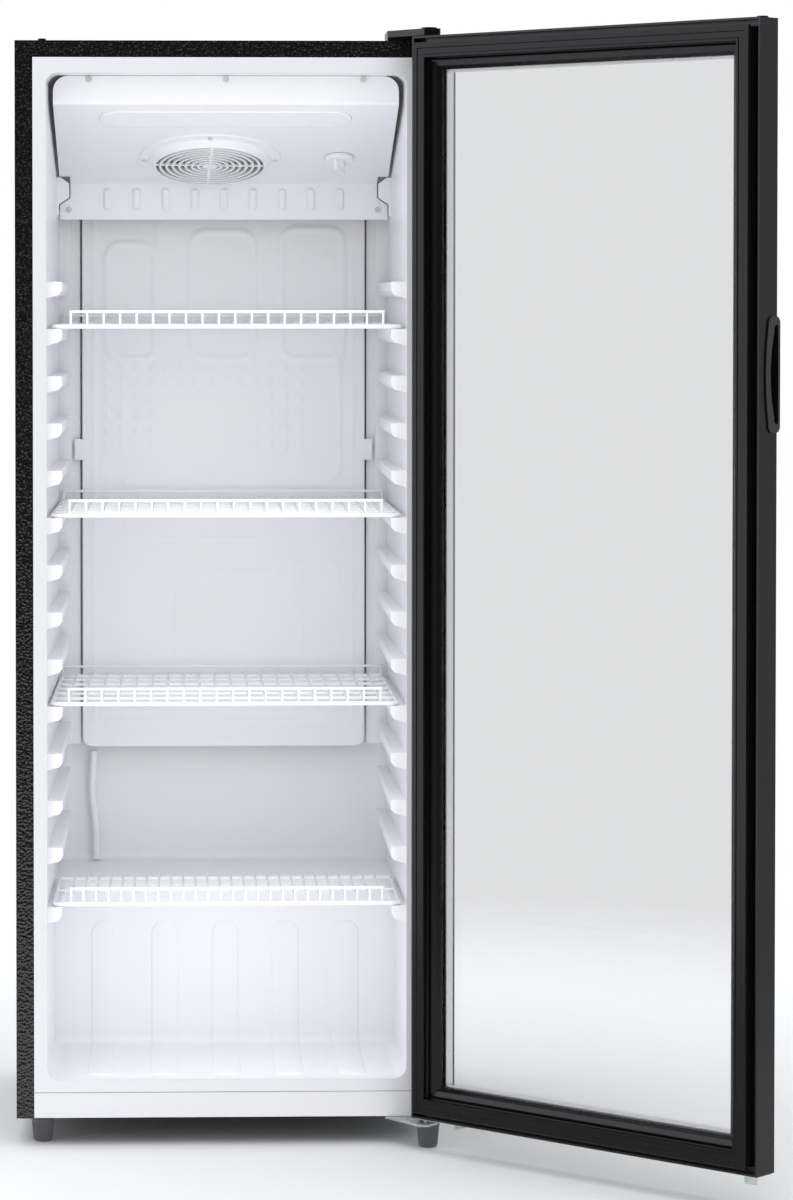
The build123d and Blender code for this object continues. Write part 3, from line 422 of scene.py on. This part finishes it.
def rib_path():
    """Points down the step, round the fillet and forward, each with the liner's normal there."""
    foot, heel = FLOOR_Z + FLOOR_FILLET, STEP_Y - FLOOR_FILLET
    round_top = [RIB_TOP - RIB_HALF * (1 - math.cos(a)) for a in QUARTER]
    path = [(STEP_Y, z, (-1, 0)) for z in round_top]
    path += [(STEP_Y, z, (-1, 0)) for z in np.linspace(round_top[-1], foot, 8)[1:]]
    for a in QUARTER[1:]:
        y, z = heel + FLOOR_FILLET * math.cos(a), foot - FLOOR_FILLET * math.sin(a)
        path.append((y, z, (-math.cos(a), math.sin(a))))
    last = RIB_FRONT + RIB_HALF
    path += [(y, FLOOR_Z, (0, 1)) for y in np.linspace(heel, last, 10)[1:]]
    path += [(last - RIB_HALF * math.sin(a), FLOOR_Z, (0, 1)) for a in QUARTER[1:]]
    return path


def liner_rib(index, x):
    """A flat-topped rib with soft sides and half-round ends."""
    path = rib_path()
    steps = [0.0] + [math.dist(a[:2], b[:2]) for a, b in zip(path, path[1:])]
    along = np.cumsum(steps)
    verts = []
    for (y, z, (ny, nz)), run in zip(path, along):
        from_end = min(run, along[-1] - run, RIB_HALF)
        width = math.sqrt(max(1 - (1 - from_end / RIB_HALF) ** 2, 0.0))
        rise = min(1.0, from_end / (0.2 * RIB_HALF))
        for u, h in RIB_SECTION:
            lift = (h * rise if h > 0 else h) * RIB_H
            verts.append((x + u * RIB_HALF * max(width, RIB_END), y + ny * lift, z + nz * lift))
    faces = tube_faces(len(path), len(RIB_SECTION))
    piece(f"liner_rib_{index}", verts, faces, "white_plastic", "cabinet")


for index in range(5):
    liner_rib(index + 1, (index - 2) * RIB_PITCH)


# ---- levelling feet: fluted rubber cones with a bore for the stud
FLUTES, FLUTE_STEPS = 28, 8
FLUTE_HALF = 0.34  # half width of a flute, as a share of the flutes' spacing
# Height, radius and depth of the flutes, from the sole up, over the rim and down the bore.
FOOT_RINGS = [
    (0.0, 10.6, 0), (0.15, 10.9, 0), (1.3, 12.7, 0), (1.6, 12.9, 0),  # the sole and its round edge
    (3.8, 13.65, 0), (4.6, 13.75, 1.2), (27.4, 15.7, 1.2), (28.2, 15.8, 0),  # the fluted cone
    (28.4, 15.85, 0), (28.9, 16.3, 0), (29.1, 16.4, 0), (33.1, 16.4, 0),  # the collar
    (33.4, 16.3, 0), (33.5, 16.0, 0), (33.5, 4.4, 0),  # the top
    (33.4, 4.1, 0), (6.2, 4.1, 0), (6.0, 4.0, 0),  # the bore
]


def fluted_foot(node):
    """A foot as one closed mesh around the middle of its CAD node."""
    low, high = box_of(node)
    x, y, z = (low[0] + high[0]) / 2, (low[1] + high[1]) / 2, low[2]
    count = FLUTES * FLUTE_STEPS
    angles = 2 * math.pi * np.arange(count) / count
    phase = (np.arange(count) / FLUTE_STEPS + 0.5) % 1 - 0.5
    groove = swell(phase, FLUTE_HALF, 1.0)
    verts = []
    for height, radius, depth in FOOT_RINGS:
        reach = radius - depth * groove
        ring = np.stack([x + reach * np.cos(angles), y + reach * np.sin(angles)], -1)
        verts += [(a, b, z + height) for a, b in ring.tolist()]
    faces = tube_faces(len(FOOT_RINGS), count)
    foot = piece(node + "_fluted", verts, faces, "grey_rubber", node)
    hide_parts(node)


for corner in ("front_left", "front_right", "rear_left", "rear_right"):
    fluted_foot("foot_" + corner)


# ---------------------------------------------------------------- floor, light, camera
FLOOR_SIZE, FADE_FROM, FADE_TO = 3.0, 1.2, 2.6  # the floor's reach and its fading, in metres
AMBIENT, WALL = 0.66, 0.71  # soft light from all round, and the studio as seen through the glass
# Strengths of what glossy surfaces see: the dark room, and the panels in it.
DARK, LEFT, RIGHT, TOP, BACK = 0.04, 2.8, 0.65, 0.9, 0.8
# Axis, where the panel begins and where it reaches its full strength (as parts of a direction).
PANELS = (
    ("X", -0.62, -0.98, LEFT),
    ("X", 0.6, 0.95, RIGHT),
    ("Z", 0.35, 0.8, TOP),
    ("Y", 0.3, 0.9, BACK),
)
# The light in the cavity's mouth: width, height and middle in metres, and its strength.
MOUTH_W, MOUTH_H, MOUTH_PLACE, MOUTH_STRENGTH = 0.49, 1.40, (0, 0.004, 0.81), 0.48
# Name, strength, tilt from overhead, turn to the right and spread, in degrees.
SUNS = (
    ("overhead", 1.55, 12, -12, 80),
    ("front", 0.05, 80, -4, 34),
    ("right", 0.38, 80, 34, 40),
    ("left", 0.08, 80, -42, 50),
    ("bounce", 0.2, 112, 2, 40),
)


def smooth_step(graph, links, source, start, full, strength=1.0):
    """Rises smoothly from 0 to strength while the source goes from start to full."""
    band = graph.new("ShaderNodeMapRange")
    band.interpolation_type = "SMOOTHSTEP"
    band.inputs["From Min"].default_value = start
    band.inputs["From Max"].default_value = full
    band.inputs["To Max"].default_value = strength
    links.new(source, band.inputs["Value"])
    return band.outputs["Result"]


def floor_paint():
    """White matt paint that fades out about two metres from the object."""
    mat = surface("floor_paint", (0.93, 0.93, 0.935), 0.7, specular=0.1, vary=0.01)
    graph, links = mat.node_tree.nodes, mat.node_tree.links
    coords = graph.new("ShaderNodeTexCoord")
    reach = graph.new("ShaderNodeVectorMath")
    reach.operation = "LENGTH"
    links.new(coords.outputs["Object"], reach.inputs[0])
    clear = graph.new("ShaderNodeBsdfTransparent")
    mix = graph.new("ShaderNodeMixShader")
    fade = smooth_step(graph, links, reach.outputs["Value"], FADE_FROM, FADE_TO)
    links.new(fade, mix.inputs["Fac"])
    links.new(graph["Principled BSDF"].outputs["BSDF"], mix.inputs[1])
    links.new(clear.outputs["BSDF"], mix.inputs[2])
    links.new(mix.outputs["Shader"], graph["Material Output"].inputs["Surface"])
    return mat


def floor():
    """A square of floor under the object, on no body."""
    size = FLOOR_SIZE
    data = bpy.data.meshes.new("studio_floor")
    corners = [(-size, -size, 0.0), (size, -size, 0.0), (size, size, 0.0), (-size, size, 0.0)]
    data.from_pydata(corners, [], [(0, 1, 2, 3)])
    obj = bpy.data.objects.new("studio_floor", data)
    scene.collection.objects.link(obj)
    data.materials.append(floor_paint())


def background(graph, colour, strength):
    node = graph.new("ShaderNodeBackground")
    node.inputs["Color"].default_value = (*colour, 1)
    node.inputs["Strength"].default_value = strength
    return node


def reflections(graph, links):
    """What glossy surfaces see: dark behind the camera, bright panels at the sides and above."""
    coords = graph.new("ShaderNodeTexCoord")
    axes = graph.new("ShaderNodeSeparateXYZ")
    links.new(coords.outputs["Generated"], axes.inputs["Vector"])
    total = None
    for axis, start, full, strength in PANELS:
        add = graph.new("ShaderNodeMath")
        add.operation = "ADD"
        add.inputs[1].default_value = DARK
        if total:
            links.new(total, add.inputs[1])
        band = smooth_step(graph, links, axes.outputs[axis], start, full, strength)
        links.new(band, add.inputs[0])
        total = add.outputs["Value"]
    node = background(graph, (0.94, 0.96, 1.0), 1.0)
    links.new(total, node.inputs["Strength"])
    return node


def world():
    """A studio that looks white, gives soft light and shows pale grey through the glass."""
    sky = bpy.data.worlds.new("studio")
    sky.use_nodes = True
    sky.cycles.sampling_method = "NONE"
    graph, links = sky.node_tree.nodes, sky.node_tree.links
    path = graph.new("ShaderNodeLightPath")
    shader = background(graph, (0.95, 0.97, 1.0), AMBIENT).outputs["Background"]
    kinds = (
        ("Is Glossy Ray", reflections(graph, links)),
        ("Is Transmission Ray", background(graph, (1.0, 1.0, 1.0), WALL)),
        ("Is Camera Ray", background(graph, (1.0, 1.0, 1.0), 1.0)),
    )
    for kind, node in kinds:
        mix = graph.new("ShaderNodeMixShader")
        links.new(path.outputs[kind], mix.inputs["Fac"])
        links.new(shader, mix.inputs[1])
        links.new(node.outputs["Background"], mix.inputs[2])
        shader = mix.outputs["Shader"]
    links.new(shader, graph["World Output"].inputs["Surface"])
    scene.world = sky


def sun(name, strength, tilt, turn, spread):
    """A very soft light from far away, even over the whole scene."""
    data = bpy.data.lights.new(name, "SUN")
    data.energy = strength
    data.angle = math.radians(spread)
    obj = bpy.data.objects.new(name, data)
    obj.rotation_euler = (math.radians(tilt), 0, math.radians(turn))
    obj.visible_glossy = False
    scene.collection.objects.link(obj)


def mouth_light():
    """Evens out the light that enters the cavity: a one-sided panel in its mouth, itself unseen."""
    data = bpy.data.lights.new("mouth", "AREA")
    data.shape = "RECTANGLE"
    data.size, data.size_y = MOUTH_W, MOUTH_H
    data.energy = MOUTH_STRENGTH * math.pi * data.size * data.size_y
    obj = bpy.data.objects.new("mouth", data)
    obj.location = MOUTH_PLACE
    obj.rotation_euler = (math.pi / 2, 0, 0)
    obj.visible_camera = obj.visible_glossy = obj.visible_transmission = False
    scene.collection.objects.link(obj)


def camera():
    """The photograph's viewpoint: level with the upper shelf, left of the open door."""
    data = bpy.data.cameras.new("camera")
    data.sensor_width = 36.0
    data.lens = 120.6
    data.shift_x, data.shift_y = 0.0789, -0.1496
    data.clip_end = 100.0
    obj = bpy.data.objects.new("camera", data)
    obj.location = (-0.0618, -5.706, 1.2006)
    pitch, yaw = 0.02906, 0.02949
    obj.rotation_euler = (math.pi / 2 - pitch, 0, -yaw)
    scene.collection.objects.link(obj)
    scene.camera = obj


floor()
world()
for settings in SUNS:
    sun(*settings)
mouth_light()
camera()
scene.view_settings.view_transform = "Standard"
scene.view_settings.look = "None"
